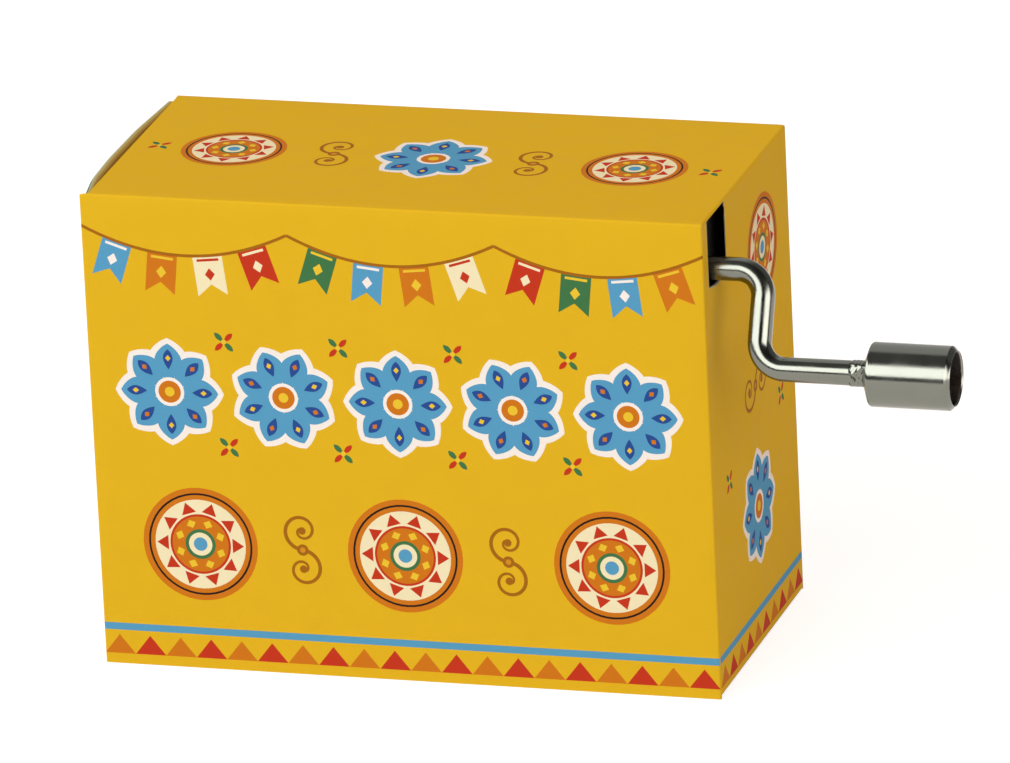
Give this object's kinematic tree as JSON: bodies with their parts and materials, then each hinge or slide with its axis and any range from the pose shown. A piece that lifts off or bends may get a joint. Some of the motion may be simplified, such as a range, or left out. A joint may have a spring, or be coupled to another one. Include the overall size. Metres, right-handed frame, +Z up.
{
  "type": "hand-cranked music box",
  "caption": "Hand-cranked comb music box in a printed folding carton, with a bent plated crank and turned knob at its right end and end flaps that open.",
  "frame": {"origin": "centre of the carton's bottom face, on which the box stands", "axes": "+X to the right along the front panel, out of the end with the crank; +Y from the front panel to the back panel; +Z up"},
  "size_m": [0.0836, 0.0345, 0.0465],
  "materials": {
    "printed_board": "satin",
    "board_inside": "matte",
    "nickel": "polished",
    "spring_steel": "satin",
    "steel": "gloss",
    "brass": "satin",
    "lead": "matte",
    "nylon": "satin",
    "zinc": "satin",
    "black_moulding": "matte"
  },
  "bodies": {
    "carton_and_movement": {"sleeve": "printed_board", "glue_flap": "board_inside", "dust_flap_right_front": "board_inside", "dust_flap_right_rear": "board_inside", "dust_flap_left_front": "board_inside", "dust_flap_left_rear": "board_inside", "comb": "spring_steel", "comb_weights": "lead", "comb_dampers": "nylon", "comb_screws": "steel", "comb_washers": "steel", "base_plate": "zinc", "crank_housing": "black_moulding", "crank_bushes": "brass", "housing_screws": "steel", "carton_screws": "steel", "carton_washers": "steel"},
    "left_end_panel": {"left_end_panel": "printed_board"},
    "left_tuck_flap": {"left_tuck_flap": "board_inside"},
    "right_end_panel": {"right_end_panel": "printed_board"},
    "right_tuck_flap": {"right_tuck_flap": "board_inside"},
    "crank": {"crank_rod": "nickel", "worm": "brass", "shaft_clips": "spring_steel"},
    "knob": {"knob": "nickel"},
    "cylinder": {"cylinder_drum": "brass", "cylinder_gear": "brass", "drum_lower_cap": "brass", "drum_upper_cap": "brass", "cylinder_arbor": "steel", "cylinder_pins": "steel"}
  },
  "joints": [
    {"name": "left_panel_fold", "type": "hinge", "parent": "carton_and_movement", "child": "left_end_panel", "pos_m": [-0.0298, 0, 0.0002], "axis": [0, -1, 0], "range_deg": [0, 75]},
    {"name": "left_tuck_fold", "type": "hinge", "parent": "left_end_panel", "child": "left_tuck_flap", "pos_m": [-0.0296, 0, 0.04565], "axis": [0, -1, 0], "range_deg": [-75, 0]},
    {"name": "right_panel_fold", "type": "hinge", "parent": "carton_and_movement", "child": "right_end_panel", "pos_m": [0.0298, 0, 0.0463], "axis": [0, -1, 0], "range_deg": [0, 10]},
    {"name": "right_tuck_fold", "type": "hinge", "parent": "right_end_panel", "child": "right_tuck_flap", "pos_m": [0.0296, 0, 0.00085], "axis": [0, -1, 0], "range_deg": [-10, 0]},
    {"name": "crank_turn", "type": "hinge", "parent": "carton_and_movement", "child": "crank", "pos_m": [0.03, -0.01095, 0.04105], "axis": [1, 0, 0], "continuous": true},
    {"name": "cylinder_turn", "type": "hinge", "parent": "carton_and_movement", "child": "cylinder", "pos_m": [0.01308, -0.00245, 0.0275], "axis": [0, 0, 1], "continuous": true},
    {"name": "knob_spin", "type": "hinge", "parent": "crank", "child": "knob", "pos_m": [0.0494, -0.01475, 0.03289], "axis": [1, 0, 0], "continuous": true}
  ],
  "couplings": [
    {"joint": "left_tuck_fold", "follows": "left_panel_fold", "ratio": -1},
    {"joint": "right_tuck_fold", "follows": "right_panel_fold", "ratio": -1},
    {"joint": "cylinder_turn", "follows": "crank_turn", "ratio": -0.041667}
  ]
}
